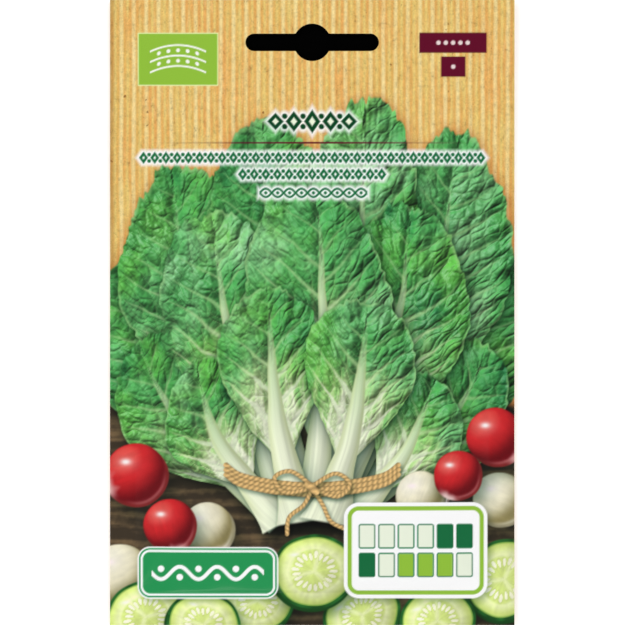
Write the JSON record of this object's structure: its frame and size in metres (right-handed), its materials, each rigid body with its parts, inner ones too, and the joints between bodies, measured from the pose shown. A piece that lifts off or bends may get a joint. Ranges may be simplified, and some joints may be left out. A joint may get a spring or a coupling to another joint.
{
  "type": "seed packet",
  "caption": "Flat sealed paper packet of leafy-greens seeds with a printed kraft front, a pillowed pocket and a wide hang slot cut through its header.",
  "frame": {"origin": "middle of the packet's underside, on the surface that it lies on", "axes": "+X across the packet, +Y along it towards the header with the hang slot, +Z out of the printed front"},
  "size_m": [0.097, 0.15, 0.004],
  "materials": {
    "printed_front": "satin",
    "kraft_back": "satin",
    "seed_coat": "matte"
  },
  "bodies": {
    "root": {"front_panel": "printed_front", "back_panel": "kraft_back", "seeds": "seed_coat"}
  },
  "joints": []
}
